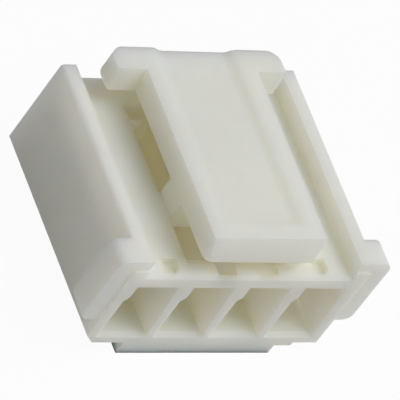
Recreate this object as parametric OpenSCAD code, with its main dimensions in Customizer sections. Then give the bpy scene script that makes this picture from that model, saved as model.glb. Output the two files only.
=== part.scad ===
// Wire to board connector housing: one nylon moulding with a row of contact
// cavities, a rocking lock lever over the deck, two guide rails, two side lugs
// and a guide pad under the body. Wires enter the -Y end, the +Y end mates.

/* [Row of contacts] */
// Number of circuits in the row
circuits = 4; // [4:1:12]
// Distance from one contact to the next
pitch = 2.0; // [1.95:0.05:3.0]
// Outer contact centre to the side of the body
end_margin = 1.21; // [1.1:0.05:2.0]

/* [Body] */
// Length from the wire entry face to the mating face
body_l = 7.33; // [6.8:0.01:12]
// Thickness of the floor below the cavities
floor_t = 0.34; // [0.25:0.01:0.8]
// Thickness of the deck above the cavities
deck_t = 0.49; // [0.3:0.01:0.8]
// Chamfer along the front edge of the deck
deck_chamfer = 0.1; // [0.05:0.01:0.18]
// Polarising chamfer along one lower edge
key_chamfer = 0.34; // [0.1:0.01:0.6]

/* [Cavities] */
// Width of a cavity at its floor
cavity_w = 1.74; // [1.4:0.01:1.8]
// Height of a cavity
cavity_h = 2.42; // [2.0:0.01:3.2]
// Depth of the keying step down one side of a cavity
key_w = 0.13; // [0.05:0.01:0.3]
// Height of the narrow part above the keying step
key_h = 0.5; // [0.3:0.01:0.9]
// Height of the slope that joins the step to the wall
key_slope = 0.19; // [0.1:0.01:0.3]
// How far the plain side wall leans in from floor to deck
side_draft = 0.15; // [0.05:0.01:0.3]
// Height of the lead-in along the lower front edge
lead_h = 0.09; // [0.04:0.01:0.2]
// Depth of the lead-in along the lower front edge
lead_l = 0.17; // [0.08:0.01:0.4]

/* [Mating face] */
// Thickness of the wall that the pins pass through
mating_wall = 0.6; // [0.4:0.01:1.2]
// Side of the square pin entry
pin_entry = 0.9; // [0.7:0.01:1.1]
// Side of the funnel at the face
funnel_w = 1.3; // [1.15:0.01:1.5]
// Depth of the funnel
funnel_l = 0.25; // [0.1:0.01:0.35]
// Height of the pin centre above the underside of the body
pin_z = 1.55; // [1.2:0.01:2.0]

/* [Rails] */
// Width of a guide rail
rail_w = 0.52; // [0.35:0.01:0.6]
// Height of a guide rail above the deck
rail_h = 0.62; // [0.4:0.01:1.0]
// Radius of the rail's outer top edge
rail_r = 0.12; // [0.05:0.01:0.25]
// How far rails and lugs stand back from the wire entry face
setback = 0.08; // [0.04:0.01:0.2]
// Height of the face rim in front of each rail, above the deck
rim_h = 0.25; // [0.1:0.01:0.38]

/* [Lugs] */
// How far a side lug stands out from the body
lug_out = 0.64; // [0.35:0.01:1.0]
// Length of a lug along the body
lug_l = 0.92; // [0.6:0.01:1.6]
// Height of a lug's lower side above the underside of the body
lug_z = 1.06; // [0.7:0.01:1.6]
// Radius of a lug's outer edges
lug_r = 0.3; // [0.1:0.01:0.34]

/* [Guide pad] */
// Width of the pad under the body
pad_w = 5.5; // [4.0:0.01:6.0]
// Height of the pad
pad_h = 0.53; // [0.3:0.01:0.9]
// Length of the pad from the wire entry face
pad_l = 6.6; // [4.0:0.01:6.7]
// Length of the pad's sloped mating end
pad_slope = 0.4; // [0.1:0.01:0.8]
// Width of the low step on one side of the pad
step_w = 0.6; // [0.3:0.01:0.9]
// Height of the low step
step_h = 0.15; // [0.08:0.01:0.25]

/* [Lock lever] */
// Width of the lever plate
lever_w = 4.0; // [3.6:0.01:5.0]
// Thickness of the lever plate
lever_t = 0.87; // [0.6:0.01:1.2]
// Gap between the deck and the lever
lever_gap = 0.68; // [0.5:0.01:1.1]
// Wire entry face to the lower front edge of the lever
lever_inset = 0.08; // [0.02:0.01:0.3]
// How far the lever's front face leans back
lever_lean = 0.24; // [0.1:0.01:0.4]
// Radius of the lever's front corners, seen from above
lever_r = 0.3; // [0.1:0.01:0.6]
// Wire entry face to the web that carries the lever
web_start = 2.22; // [1.9:0.01:3.0]
// Length of the web along the body
web_l = 0.92; // [0.6:0.01:1.2]

/* [Lever recess] */
// Width of the recess at the top of the lever
recess_w = 2.86; // [2.0:0.01:3.2]
// Depth of the recess
recess_d = 0.15; // [0.08:0.01:0.3]
// Width of the recess's sloped wall
recess_slope = 0.25; // [0.1:0.01:0.4]
// Wire entry face to the front of the recess
recess_start = 0.82; // [0.6:0.01:1.6]

/* [Lock ears] */
// Width over both lock ears
ears_w = 6.04; // [5.4:0.01:6.6]
// Length of an ear along the lever
ear_l = 0.82; // [0.5:0.01:1.2]
// How far the foot of the ear's locking face stands forward
ear_lean = 0.14; // [0:0.01:0.3]
// Radius of the ear's outer corner at the mating end
ear_r = 0.45; // [0.1:0.01:0.5]
// Radius of the ear's outer corner at the locking face
ear_tip_r = 0.12; // [0.05:0.01:0.2]

/* [Deck openings] */
// Width of a window into an inner cavity
window_w = 1.8; // [1.2:0.01:1.85]
// How far a window stands outside the middle of its cavity
window_shift = 0.15; // [0:0.01:0.2]
// Length of the window on the mating side of the web
rear_window_l = 3.13; // [1.5:0.01:3.2]
// Length of the window on the wire side of the web
front_window_l = 1.15; // [0.6:0.01:1.3]
// Length of the ramp in front of the front window
ramp_l = 0.6; // [0.3:0.01:0.7]
// Width of the release slot in front of a front window
slot_w = 0.66; // [0.4:0.01:0.8]
// Wire entry face to the release slot
slot_start = 0.13; // [0.1:0.01:0.4]
// How far a release slot stands inside the middle of its cavity
slot_shift = 0.25; // [0:0.01:0.35]
// Depth of the blind slot over the last inner cavity
blind_slot_d = 0.15; // [0.05:0.01:0.26]

/* [Dimples] */
// Width of the dimple over each outer cavity
dimple_w = 0.55; // [0.3:0.01:0.8]
// Length of a dimple
dimple_l = 0.55; // [0.45:0.01:0.9]
// Depth of a dimple
dimple_d = 0.25; // [0.1:0.01:0.26]
// Wire entry face to a dimple
dimple_start = 0.18; // [0.05:0.01:0.3]
// How far a dimple stands inside the middle of its cavity
dimple_shift = 0.34; // [0:0.01:0.4]

/* [Hidden] */
$fn = 48;
// overlap that joins solids and lets cuts break through
eps = 0.05;
body_w = (circuits - 1) * pitch + 2 * end_margin;
deck_z = floor_t + cavity_h + deck_t;
cavity_top = floor_t + cavity_h;
lever_z = deck_z + lever_gap;
lever_top = lever_z + lever_t;
ivory = [0.9, 0.89, 0.84];

// middle of a cavity across the row
function cavity_x(i) = (i - (circuits - 1) / 2) * pitch;

// puts something over a cavity, moved outwards from the middle of the row
module beside(i, outwards)
    translate([cavity_x(i) + sign(cavity_x(i)) * outwards, 0, 0]) children();

// a profile drawn in X and Z, from y = start to y = start + length
module along_y(start, length)
    translate([0, start + length, 0])
        rotate([90, 0, 0])
            linear_extrude(length) children();

// a profile drawn in Y and Z, centred across the row
module across(width)
    rotate([90, 0, 90])
        translate([0, 0, -width / 2])
            linear_extrude(width) children();

// a rectangle from [x1, y1] to [x2, y2]
module span(x1, y1, x2, y2)
    translate([x1, y1]) square([x2 - x1, y2 - y1]);

// a rectangle whose two right-hand corners are round
module round_right(x1, y1, x2, y2, r_low, r_high) {
    span(x1, y1 + r_low, x2, y2 - r_high);
    span(x1, y1, x2 - r_low, y1 + r_low + eps);
    span(x1, y2 - r_high - eps, x2 - r_high, y2);
    translate([x2 - r_low, y1 + r_low]) circle(r_low);
    translate([x2 - r_high, y2 - r_high]) circle(r_high);
}

// both halves of something that is the same left and right
module both_sides() {
    children();
    mirror([1, 0, 0]) children();
}

// block around the cavities, with the polarising chamfer on one lower edge
module body_block()
    along_y(0, body_l)
        polygon([
            [-body_w / 2 + key_chamfer, 0],
            [body_w / 2, 0],
            [body_w / 2, deck_z],
            [-body_w / 2, deck_z],
            [-body_w / 2, key_chamfer]
        ]);

// cut along the front edge of the deck, between the rails
module deck_edge()
    across(body_w - 2 * rail_w)
        polygon([
            [-eps, deck_z - deck_chamfer - eps],
            [deck_chamfer + eps, deck_z + eps],
            [-eps, deck_z + eps]
        ]);

// guide rails along both sides of the deck, and the face rim in front of them
module rails()
    both_sides() {
        along_y(setback, body_l - setback)
            round_right(body_w / 2 - rail_w, deck_z - rail_w,
                body_w / 2, deck_z + rail_h, eps, rail_r);
        along_y(0, setback + eps)
            span(body_w / 2 - rail_w, deck_z - eps, body_w / 2, deck_z + rim_h);
    }

// side lugs, which stop the housing in its header and give a finger grip
module lugs()
    both_sides()
        along_y(setback, lug_l)
            round_right(body_w / 2 - rail_w, lug_z,
                body_w / 2 + lug_out, deck_z + rail_h, lug_r, lug_r);

// guide pad under the body, with its low step
module guide_pad() {
    across(pad_w)
        polygon([
            [0, -pad_h],
            [pad_l - pad_slope, -pad_h],
            [pad_l, 0],
            [pad_l, eps],
            [0, eps]
        ]);
    translate([pad_w / 2 - eps, 0, -step_h])
        cube([step_w + eps, pad_l, step_h + eps]);
}

// wire entry and contact space of one circuit
module cavity() {
    along_y(-eps, body_l - mating_wall + eps)
        polygon([
            [-cavity_w / 2, floor_t],
            [cavity_w / 2, floor_t],
            [cavity_w / 2 - side_draft, cavity_top],
            [-cavity_w / 2 + key_w, cavity_top],
            [-cavity_w / 2 + key_w, cavity_top - key_h],
            [-cavity_w / 2, cavity_top - key_h - key_slope]
        ]);
    across(cavity_w)
        polygon([
            [-lead_l, floor_t - 2 * lead_h],
            [lead_l, floor_t],
            [lead_l, floor_t + lead_h],
            [-lead_l, floor_t + lead_h]
        ]);
}

// square pin entry through the mating wall, with its funnel
module pin_passage() {
    translate([-pin_entry / 2, body_l - mating_wall - eps, pin_z - pin_entry / 2])
        cube([pin_entry, mating_wall + 2 * eps, pin_entry]);
    translate([0, body_l, pin_z])
        rotate([90, 0, 0])
            pocket(funnel_w, funnel_w, funnel_l, (funnel_w - pin_entry) / 2);
}

// a rectangular pocket below z = 0 whose four walls slope in towards its floor
module pocket(x_size, y_size, depth, slope)
    intersection() {
        rotate([90, 0, 0])
            linear_extrude(2 * y_size, center = true)
                pocket_section(x_size, depth, slope);
        rotate([90, 0, 90])
            linear_extrude(2 * x_size, center = true)
                pocket_section(y_size, depth, slope);
    }

module pocket_section(size, depth, slope) {
    rise = eps * slope / depth;
    polygon([
        [-size / 2 - rise, eps],
        [-size / 2 + slope, -depth],
        [size / 2 - slope, -depth],
        [size / 2 + rise, eps]
    ]);
}

// windows through the deck into one inner cavity, on both sides of the web
module windows() {
    low = cavity_top - eps;
    high = deck_z + eps;
    translate([-window_w / 2, web_start + web_l, low])
        cube([window_w, rear_window_l, high - low]);
    across(window_w)
        polygon([
            [web_start - front_window_l, low],
            [web_start, low],
            [web_start, high],
            [web_start - front_window_l - ramp_l, high]
        ]);
}

// slot from the front window towards the wire end, where a tool frees the contact
module release_slot(depth)
    translate([-slot_w / 2, slot_start, deck_z - depth])
        cube([slot_w, web_start - slot_start - eps, depth + eps]);

// blind dimple in the deck, round at the wire end
module dimple()
    translate([0, dimple_start + dimple_w / 2, deck_z - dimple_d])
        linear_extrude(dimple_d + eps) {
            circle(dimple_w / 2);
            span(-dimple_w / 2, 0, dimple_w / 2, dimple_l - dimple_w / 2);
        }

// lock lever: plate, carrying web and recess for the thumb
module lever() {
    intersection() {
        across(lever_w)
            polygon([
                [lever_inset, lever_z],
                [body_l, lever_z],
                [body_l, lever_top],
                [lever_inset + lever_lean, lever_top]
            ]);
        translate([0, 0, lever_z - eps])
            linear_extrude(lever_t + 2 * eps)
                lever_outline();
    }
    translate([-lever_w / 2, web_start, deck_z - eps])
        cube([lever_w, web_l, lever_gap + 2 * eps]);
}

// the lever seen from above, with round corners at the wire end
module lever_outline()
    both_sides()
        translate([0, body_l])
            rotate(-90)
                round_corner(body_l - lever_inset, lever_w / 2, lever_r);

// a rectangle from the origin with its far corner round
module round_corner(x, y, r) {
    span(0, -eps, x - r, y);
    span(0, -eps, x, y - r);
    translate([x - r, y - r]) circle(r);
}

// lock ears at the mating end of the lever, their locking faces leaning forward
module ears()
    intersection() {
        across(ears_w)
            polygon([
                [body_l - ear_l, lever_top],
                [body_l - ear_l - ear_lean, lever_z],
                [body_l, lever_z],
                [body_l, lever_top]
            ]);
        translate([0, 0, lever_z - eps])
            linear_extrude(lever_t + 2 * eps)
                both_sides()
                    round_right(-eps, body_l - ear_l - ear_lean, ears_w / 2, body_l,
                        ear_tip_r, ear_r);
    }

module housing()
    color(ivory)
        translate([0, -body_l / 2, pad_h]) {
            difference() {
                union() {
                    body_block();
                    rails();
                    lugs();
                    guide_pad();
                }
                for (i = [0 : circuits - 1])
                    translate([cavity_x(i), 0, 0]) {
                        cavity();
                        pin_passage();
                    }
                deck_edge();
                for (i = [1 : circuits - 2])
                    beside(i, window_shift) windows();
                beside(1, -slot_shift) release_slot(deck_t + eps);
                beside(circuits - 2, -slot_shift) release_slot(blind_slot_d);
                for (i = [0, circuits - 1])
                    beside(i, -dimple_shift) dimple();
            }
            difference() {
                union() {
                    lever();
                    ears();
                }
                translate([0, recess_start + body_l, lever_top])
                    pocket(recess_w, 2 * body_l, recess_d, recess_slope);
            }
        }

housing();
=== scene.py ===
"""Looks of a four circuit wire to board connector housing: one nylon moulding on a studio floor."""

import math

import bmesh
import bpy
from bpy.props import FloatProperty, FloatVectorProperty, IntProperty, PointerProperty
from mathutils import Matrix, Vector


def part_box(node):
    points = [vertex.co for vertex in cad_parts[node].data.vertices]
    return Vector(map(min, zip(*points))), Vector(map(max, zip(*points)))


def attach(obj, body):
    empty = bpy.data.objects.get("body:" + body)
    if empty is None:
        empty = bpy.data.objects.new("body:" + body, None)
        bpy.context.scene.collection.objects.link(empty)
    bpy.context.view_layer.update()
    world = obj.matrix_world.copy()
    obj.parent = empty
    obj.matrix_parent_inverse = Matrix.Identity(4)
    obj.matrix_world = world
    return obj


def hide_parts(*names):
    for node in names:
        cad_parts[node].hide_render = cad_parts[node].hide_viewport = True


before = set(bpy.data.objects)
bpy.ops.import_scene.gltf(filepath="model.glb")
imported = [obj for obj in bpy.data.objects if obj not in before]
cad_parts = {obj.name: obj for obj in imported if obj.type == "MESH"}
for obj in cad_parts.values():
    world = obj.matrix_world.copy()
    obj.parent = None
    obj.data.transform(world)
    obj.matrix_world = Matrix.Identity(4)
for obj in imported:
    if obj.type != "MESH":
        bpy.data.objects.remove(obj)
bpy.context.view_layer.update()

bl_info = {
    "name": "Wire to Board Housing",
    "version": (1, 0, 0),
    "blender": (4, 5, 0),
    "location": "3D View > Sidebar > Connector",
    "description": "Shades and colours a moulded connector housing and sets it in a studio",
    "category": "Add Mesh",
}

LOW, HIGH = (Vector(corner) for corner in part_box("housing"))
CENTRE = (LOW + HIGH) / 2

MM = 0.001
MERGE_REACH = 0.001 * MM  # corners of loose triangles this near are one point
FLAT_TURN = math.radians(0.5)  # triangles that turn less than this are one face
RECESS_REACH = 0.3 * MM  # every edge of the recess is this near the top
LEVEL = 0.99  # least upward part of a level face's normal
STEEP = 0.5  # least upward part of the normal on the recess's sloping sides
FACET_WIDTH = 0.09 * MM  # widest facet of a rounding

NYLON_IOR = 1.53
SCATTER_SHARES = (1.0, 0.82, 0.68)  # how far red, green and blue light travel
CLOUD_SIZE = 2 * MM
CLOUD_RANGE = (0.3, 0.7)  # part of the noise that the tones cover
CLOUD_TONES = (0.97, 1.03)  # darkest and lightest
GRAIN_GLOSS = 0.12  # roughness that the grain adds at most
# The ambient-occlusion mask set below picks the hollows that get painted light, a paler, yellower
# base colour standing in for light through the thin walls.
HOLLOW_RAYS = 12
HOLLOW_OPENNESS = (0.15, 0.75)  # of a face that is wholly deep, and of one that is open

MIX_FACTOR, MIX_FIRST, MIX_SECOND, MIX_RESULT = 0, 6, 7, 2  # colour sockets of a Mix node


class MouldingSettings(bpy.types.PropertyGroup):
    """Shape of the lever's recess, and which edges stay sharp."""

    recess_radius: FloatProperty(
        name="Recess radius",
        description="Radius along the edges of the shallow recess in the lever",
        default=0.12 * MM, min=0.0, unit="LENGTH",
    )
    edge_steps: IntProperty(
        name="Edge steps",
        description="Flats across each rounded edge of the recess",
        default=3, min=1, max=6,
    )
    edge_angle: FloatProperty(
        name="Edge angle",
        description="Edges that turn more than this stay sharp in the shading",
        default=math.radians(28), subtype="ANGLE",
    )


class NylonSettings(bpy.types.PropertyGroup):
    """Finish of the natural nylon, with painted light in its hollows."""

    body_colour: FloatVectorProperty(
        name="Body colour",
        description="Colour of thick, open nylon, before thin walls let light through",
        default=(0.93, 0.91, 0.82), size=3, subtype="COLOR", min=0.0, max=1.0,
    )
    # Painted light: the colour below is mixed into the base colour where walls stand near, a paler,
    # yellower colour that stands in for light passing through the thin walls into the cavities; the
    # reach sets how near the walls must be.
    hollow_light_colour: FloatVectorProperty(
        name="Deep colour",
        description="Colour inside cavities, where light has passed through the walls",
        default=(0.985, 0.97, 0.78), size=3, subtype="COLOR", min=0.0, max=1.0,
    )
    hollow_light_reach: FloatProperty(
        name="Deep reach",
        description="How near walls have to stand for a face to take the deep colour",
        default=1.6 * MM, unit="LENGTH",
    )
    roughness: FloatProperty(
        name="Roughness",
        description="Roughness of the moulded surface",
        default=0.55, min=0.0, max=1.0, subtype="FACTOR",
    )
    scatter_depth: FloatProperty(
        name="Scatter depth",
        description="How far light travels inside the nylon",
        default=1.55 * MM, unit="LENGTH",
    )
    grain_size: FloatProperty(
        name="Grain size",
        description="Size of the texture that the eroded mould leaves",
        default=0.09 * MM, unit="LENGTH",
    )
    grain_depth: FloatProperty(
        name="Grain depth",
        description="Depth of that texture",
        default=0.006 * MM, unit="LENGTH",
    )


class StudioSettings(bpy.types.PropertyGroup):
    """Floor, light and camera."""

    floor_width: FloatProperty(
        name="Floor width",
        description="Side of the square floor",
        default=1.6, unit="LENGTH",
    )
    floor_colour: FloatVectorProperty(
        name="Floor colour",
        description="Colour of the floor under the lamps",
        default=(0.86, 0.86, 0.86), size=3, subtype="COLOR", min=0.0, max=1.0,
    )
    floor_white: FloatProperty(
        name="Floor white",
        description="Share of plain white that a viewer sees in the floor",
        default=0.95, min=0.0, max=1.0, subtype="FACTOR",
    )
    sky_strength: FloatProperty(
        name="Sky strength",
        description="Even light from all round",
        default=0.2, min=0.0,
    )
    key_power: FloatProperty(
        name="Key power",
        description="Power of the large lamp over the wire side",
        default=1.2, min=0.0, unit="POWER",
    )
    key_place: FloatVectorProperty(
        name="Key place",
        description="Where the key lamp hangs, from the middle of the housing",
        default=(0.165, -0.10, 0.40), size=3, subtype="TRANSLATION",
    )
    key_width: FloatProperty(
        name="Key width",
        description="Side of the square key lamp",
        default=0.32, unit="LENGTH",
    )
    light_bounces: IntProperty(
        name="Light bounces",
        description="How often light may bounce, so that it reaches the ends of the cavities",
        default=32, min=4,
    )
    azimuth: FloatProperty(
        name="Azimuth",
        description="Camera's turn round the housing from the wire side",
        default=math.radians(-48.61), subtype="ANGLE",
    )
    elevation: FloatProperty(
        name="Elevation",
        description="Camera's height above the horizon",
        default=math.radians(41.39), subtype="ANGLE",
    )
    roll: FloatProperty(
        name="Roll",
        description="Camera's turn about its own axis",
        default=math.radians(37.71), subtype="ANGLE",
    )
    distance: FloatProperty(
        name="Distance",
        description="Camera to the middle of the housing",
        default=202.8 * MM, unit="LENGTH",
    )
    view_angle: FloatProperty(
        name="View angle",
        description="Angle across the camera's picture",
        default=math.radians(3.3693), subtype="ANGLE",
    )
    aim_shift: FloatVectorProperty(
        name="Aim shift",
        description="From the middle of the housing to the point the camera looks at",
        default=(0.286 * MM, 0.050 * MM, -0.031 * MM), size=3, subtype="TRANSLATION",
    )


def clear_selection():
    """Leaves nothing selected and object mode on."""
    if bpy.context.mode != "OBJECT":
        bpy.ops.object.mode_set(mode="OBJECT")
    bpy.ops.object.select_all(action="DESELECT")


def make_active(obj):
    """Selects obj alone."""
    clear_selection()
    obj.select_set(True)
    bpy.context.view_layer.objects.active = obj


def round_edges(obj, chosen, radius, steps):
    """Rounds the edges of obj for which chosen says yes."""
    make_active(obj)
    bpy.ops.object.mode_set(mode="EDIT")
    bpy.ops.mesh.select_mode(type="EDGE")
    bpy.ops.mesh.select_all(action="DESELECT")
    mesh = bmesh.from_edit_mesh(obj.data)
    for edge in mesh.edges:
        edge.select_set(chosen(edge))
    bmesh.update_edit_mesh(obj.data)
    bpy.ops.mesh.bevel(offset=radius, segments=steps, affect="EDGES", clamp_overlap=True)
    bpy.ops.object.mode_set(mode="OBJECT")


def rims_recess(edge):
    """True for an edge of the sloping sides of the lever's recess."""
    near_top = all(point.co.z > HIGH.z - RECESS_REACH for point in edge.verts)
    tilts = sorted(face.normal.z for face in edge.link_faces)
    return near_top and STEEP < tilts[0] < LEVEL and tilts[-1] > LEVEL


def is_flat(face):
    """True for a face that is too wide to be one facet of a rounding."""
    return face.calc_area() / max(edge.calc_length() for edge in face.edges) > FACET_WIDTH


def shade_facets(obj, angle):
    """Shades the roundings of obj smooth and its flat faces flat."""
    make_active(obj)
    bpy.ops.object.shade_smooth_by_angle(angle=angle)
    bpy.ops.object.mode_set(mode="EDIT")
    bpy.ops.mesh.select_mode(type="FACE")
    bpy.ops.mesh.select_all(action="DESELECT")
    mesh = bmesh.from_edit_mesh(obj.data)
    for face in mesh.faces:
        face.select_set(is_flat(face))
    bmesh.update_edit_mesh(obj.data)
    bpy.ops.mesh.faces_shade_flat()
    bpy.ops.object.mode_set(mode="OBJECT")


def copy_of_node(node, name):
    """A copy of a CAD node's mesh, its loose triangles joined into flat faces."""
    clear_selection()
    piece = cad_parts[node].copy()
    piece.data = piece.data.copy()
    piece.name = piece.data.name = name
    bpy.context.collection.objects.link(piece)
    make_active(piece)
    bpy.ops.object.mode_set(mode="EDIT")
    bpy.ops.mesh.select_all(action="SELECT")
    bpy.ops.mesh.remove_doubles(threshold=MERGE_REACH)
    bpy.ops.mesh.dissolve_limited(angle_limit=FLAT_TURN)
    bpy.ops.object.mode_set(mode="OBJECT")
    return piece


class NodeCanvas:
    """Adds and joins the nodes of one node tree."""

    def __init__(self, tree):
        self.tree = tree
        tree.nodes.clear()

    def add(self, kind, **values):
        """A node of that kind. Names in values are its settings, or else its inputs."""
        node = self.tree.nodes.new(kind)
        for name, value in values.items():
            if hasattr(node, name):
                setattr(node, name, value)
            else:
                self.feed(node, name.replace("_", " "), value)
        return node

    def feed(self, node, name, value):
        """Sets an input, given by name or number, or joins a socket to it."""
        socket = node.inputs[name]
        if isinstance(value, bpy.types.NodeSocket):
            self.tree.links.new(value, socket)
        else:
            socket.default_value = value


def rgba(colour):
    """The colour with full cover."""
    return (*colour, 1.0)


def remap(canvas, value, source, target):
    """Adds a node that carries the range source over to the range target."""
    node = canvas.add("ShaderNodeMapRange", Value=value)
    for name, number in zip(("From Min", "From Max", "To Min", "To Max"), (*source, *target)):
        canvas.feed(node, name, number)
    return node.outputs["Result"]


def moulded_surface():
    """Node group: cloudy tone, fine eroded grain and painted light in the hollows, a paler,
    yellower colour that stands in for light passing through the thin walls.
    """
    group = bpy.data.node_groups.new("moulded_surface", "ShaderNodeTree")
    face = group.interface
    for name, kind, default in (
        ("Body", "NodeSocketColor", (0.8, 0.8, 0.8, 1.0)),
        ("Hollow light", "NodeSocketColor", (0.5, 0.5, 0.3, 1.0)),
        ("Reach", "NodeSocketFloat", 0.001),
        ("Roughness", "NodeSocketFloat", 0.5),
        ("Grain", "NodeSocketFloat", 10000.0),
    ):
        face.new_socket(name=name, in_out="INPUT", socket_type=kind).default_value = default
    for name, kind in (
        ("Color", "NodeSocketColor"),
        ("Roughness", "NodeSocketFloat"),
        ("Height", "NodeSocketFloat"),
    ):
        face.new_socket(name=name, in_out="OUTPUT", socket_type=kind)

    canvas = NodeCanvas(group)
    given = canvas.add("NodeGroupInput").outputs
    place = canvas.add("ShaderNodeTexCoord").outputs["Object"]

    # Painted light: near walls the base colour turns paler and yellower, standing in for light that
    # passes through the thin walls into the hollows.
    hollow = canvas.add("ShaderNodeAmbientOcclusion", samples=HOLLOW_RAYS, Distance=given["Reach"])
    hollow_light_mix = canvas.add("ShaderNodeMix", data_type="RGBA")
    canvas.feed(hollow_light_mix, MIX_FACTOR, remap(canvas, hollow.outputs["AO"], HOLLOW_OPENNESS, (1.0, 0.0)))
    canvas.feed(hollow_light_mix, MIX_FIRST, given["Body"])
    canvas.feed(hollow_light_mix, MIX_SECOND, given["Hollow light"])

    clouds = canvas.add("ShaderNodeTexNoise", Vector=place, Scale=1 / CLOUD_SIZE, Detail=3.0)
    shade = canvas.add("ShaderNodeVectorMath", operation="SCALE")
    canvas.feed(shade, 0, hollow_light_mix.outputs[MIX_RESULT])
    canvas.feed(shade, "Scale", remap(canvas, clouds.outputs["Fac"], CLOUD_RANGE, CLOUD_TONES))

    grain = canvas.add("ShaderNodeTexNoise", Vector=place, Scale=given["Grain"], Detail=2.0)
    rough = canvas.add("ShaderNodeMath", operation="MULTIPLY_ADD")
    for socket, value in enumerate((grain.outputs["Fac"], GRAIN_GLOSS, given["Roughness"])):
        canvas.feed(rough, socket, value)

    out = canvas.add("NodeGroupOutput")
    canvas.feed(out, "Color", shade.outputs["Vector"])
    canvas.feed(out, "Roughness", rough.outputs["Value"])
    canvas.feed(out, "Height", grain.outputs["Fac"])
    return group


def nylon_material(look):
    """Natural nylon: warm, matte and a little translucent, with painted light in the hollows."""
    material = bpy.data.materials.new("natural_nylon")
    material.use_nodes = True
    canvas = NodeCanvas(material.node_tree)
    surface = canvas.add("ShaderNodeGroup", node_tree=moulded_surface())
    # The hollow colour and its reach fed here are painted light inside the cavities.
    for name, value in (
        ("Body", rgba(look.body_colour)),
        ("Hollow light", rgba(look.hollow_light_colour)),
        ("Reach", look.hollow_light_reach),
        ("Roughness", look.roughness),
        ("Grain", 1 / look.grain_size),
    ):
        canvas.feed(surface, name, value)
    bump = canvas.add("ShaderNodeBump", Distance=look.grain_depth, Height=surface.outputs["Height"])
    nylon = canvas.add("ShaderNodeBsdfPrincipled")
    canvas.feed(nylon, "Base Color", surface.outputs["Color"])
    canvas.feed(nylon, "Roughness", surface.outputs["Roughness"])
    canvas.feed(nylon, "Normal", bump.outputs["Normal"])
    canvas.feed(nylon, "IOR", NYLON_IOR)
    canvas.feed(nylon, "Subsurface Weight", 1.0)
    canvas.feed(nylon, "Subsurface Radius", SCATTER_SHARES)
    canvas.feed(nylon, "Subsurface Scale", look.scatter_depth)
    out = canvas.add("ShaderNodeOutputMaterial")
    canvas.feed(out, "Surface", nylon.outputs["BSDF"])
    return material


class CONNECTOR_OT_moulding(bpy.types.Operator):
    """Rounds the recess in the lock lever and gives the housing its nylon"""

    bl_idname = "connector.moulding"
    bl_label = "Housing moulding"

    def execute(self, context):
        shape = context.scene.connector_moulding
        moulding = copy_of_node("housing", "housing_moulding")
        round_edges(moulding, rims_recess, shape.recess_radius, shape.edge_steps)
        shade_facets(moulding, shape.edge_angle)
        moulding.data.materials.clear()
        moulding.data.materials.append(nylon_material(context.scene.connector_nylon))
        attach(moulding, "root")
        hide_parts("housing")
        return {"FINISHED"}


def floor_material(studio):
    """Plain pale floor that shows white with a soft shadow, and isn't there from below."""
    material = bpy.data.materials.new("studio_floor")
    material.use_nodes = True
    canvas = NodeCanvas(material.node_tree)
    paper = canvas.add("ShaderNodeBsdfDiffuse", Color=rgba(studio.floor_colour))
    white = canvas.add("ShaderNodeEmission", Strength=1.0)
    path = canvas.add("ShaderNodeLightPath")
    seen = canvas.add("ShaderNodeMath", operation="MULTIPLY")
    canvas.feed(seen, 0, path.outputs["Is Camera Ray"])
    canvas.feed(seen, 1, studio.floor_white)
    lit = canvas.add("ShaderNodeMixShader", Fac=seen.outputs["Value"])
    canvas.feed(lit, 1, paper.outputs["BSDF"])
    canvas.feed(lit, 2, white.outputs["Emission"])
    side = canvas.add("ShaderNodeNewGeometry")
    clear = canvas.add("ShaderNodeBsdfTransparent")
    sheet = canvas.add("ShaderNodeMixShader", Fac=side.outputs["Backfacing"])
    canvas.feed(sheet, 1, lit.outputs["Shader"])
    canvas.feed(sheet, 2, clear.outputs["BSDF"])
    out = canvas.add("ShaderNodeOutputMaterial")
    canvas.feed(out, "Surface", sheet.outputs["Shader"])
    return material


def studio_sky(studio):
    """White to the eye and in reflections, an even fill light otherwise."""
    world = bpy.data.worlds.new("studio_sky")
    world.use_nodes = True
    bpy.context.scene.world = world
    canvas = NodeCanvas(world.node_tree)
    path = canvas.add("ShaderNodeLightPath")
    seen = path.outputs["Is Camera Ray"]
    for name in ("Is Glossy Ray", "Is Transmission Ray"):
        either = canvas.add("ShaderNodeMath", operation="MAXIMUM")
        canvas.feed(either, 0, seen)
        canvas.feed(either, 1, path.outputs[name])
        seen = either.outputs["Value"]
    strength = canvas.add("ShaderNodeMapRange", Value=seen)
    canvas.feed(strength, "To Min", studio.sky_strength)
    canvas.feed(strength, "To Max", 1.0)
    sky = canvas.add("ShaderNodeBackground", Color=(1.0, 1.0, 1.0, 1.0))
    canvas.feed(sky, "Strength", strength.outputs["Result"])
    out = canvas.add("ShaderNodeOutputWorld")
    canvas.feed(out, "Surface", sky.outputs["Background"])


def add_lamp(name, place, width, power):
    """A square area lamp that shines at the middle of the housing."""
    lamp = bpy.data.lights.new(name, "AREA")
    lamp.size = width
    lamp.energy = power
    holder = bpy.data.objects.new(name, lamp)
    bpy.context.collection.objects.link(holder)
    holder.location = CENTRE + Vector(place)
    holder.rotation_euler = Vector(place).to_track_quat("Z", "Y").to_euler()


def add_camera(studio):
    """Looks at the housing from its wire side, rolled so that its top runs up the picture."""
    data = bpy.data.cameras.new("camera")
    data.sensor_width = 36.0
    data.angle = studio.view_angle
    data.clip_start = 0.01
    camera = bpy.data.objects.new("camera", data)
    bpy.context.collection.objects.link(camera)
    back = Vector((
        math.sin(studio.azimuth) * math.cos(studio.elevation),
        -math.cos(studio.azimuth) * math.cos(studio.elevation),
        math.sin(studio.elevation),
    ))
    level = Vector((0.0, 0.0, 1.0)).cross(back).normalized()
    upright = back.cross(level)
    right = math.cos(studio.roll) * level + math.sin(studio.roll) * upright
    up = back.cross(right)
    turn = Matrix((right, up, back)).transposed().to_4x4()
    aim = CENTRE + Vector(studio.aim_shift)
    camera.matrix_world = Matrix.Translation(aim + studio.distance * back) @ turn
    bpy.context.scene.camera = camera


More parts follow.
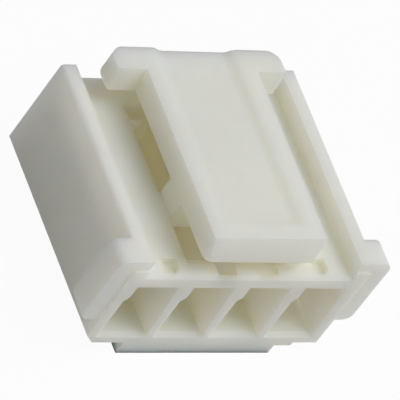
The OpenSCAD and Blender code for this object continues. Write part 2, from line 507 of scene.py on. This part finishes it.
class CONNECTOR_OT_studio(bpy.types.Operator):
    """Lays the floor and sets up the light and the camera"""

    bl_idname = "connector.studio"
    bl_label = "Studio"

    def execute(self, context):
        studio = context.scene.connector_studio
        clear_selection()
        bpy.ops.mesh.primitive_plane_add(size=studio.floor_width, location=(0.0, 0.0, LOW.z))
        bpy.ops.object.transform_apply(location=True)
        floor = context.active_object
        floor.name = floor.data.name = "studio_floor"
        floor.data.materials.append(floor_material(studio))
        studio_sky(studio)
        add_lamp("key_lamp", studio.key_place, studio.key_width, studio.key_power)
        add_camera(studio)
        context.scene.view_settings.view_transform = "Standard"
        context.scene.cycles.max_bounces = studio.light_bounces
        context.scene.cycles.diffuse_bounces = studio.light_bounces
        return {"FINISHED"}


class CONNECTOR_PT_panel(bpy.types.Panel):
    """Builds the connector housing piece by piece"""

    bl_idname = "CONNECTOR_PT_panel"
    bl_label = "Connector"
    bl_space_type = "VIEW_3D"
    bl_region_type = "UI"
    bl_category = "Connector"

    def draw(self, context):
        column = self.layout.column()
        for group in (
            context.scene.connector_moulding,
            context.scene.connector_nylon,
            context.scene.connector_studio,
        ):
            for name in group.__annotations__:
                column.prop(group, name)
        column.operator(CONNECTOR_OT_moulding.bl_idname)
        column.operator(CONNECTOR_OT_studio.bl_idname)


CLASSES = (
    MouldingSettings,
    NylonSettings,
    StudioSettings,
    CONNECTOR_OT_moulding,
    CONNECTOR_OT_studio,
    CONNECTOR_PT_panel,
)
SETTINGS = (
    ("connector_moulding", MouldingSettings),
    ("connector_nylon", NylonSettings),
    ("connector_studio", StudioSettings),
)


def register():
    for item in CLASSES:
        bpy.utils.register_class(item)
    for name, kind in SETTINGS:
        setattr(bpy.types.Scene, name, PointerProperty(type=kind))


def unregister():
    for name, kind in reversed(SETTINGS):
        delattr(bpy.types.Scene, name)
    for item in reversed(CLASSES):
        bpy.utils.unregister_class(item)


def main():
    register()
    bpy.ops.connector.moulding()
    bpy.ops.connector.studio()


if __name__ == "__main__":
    main()
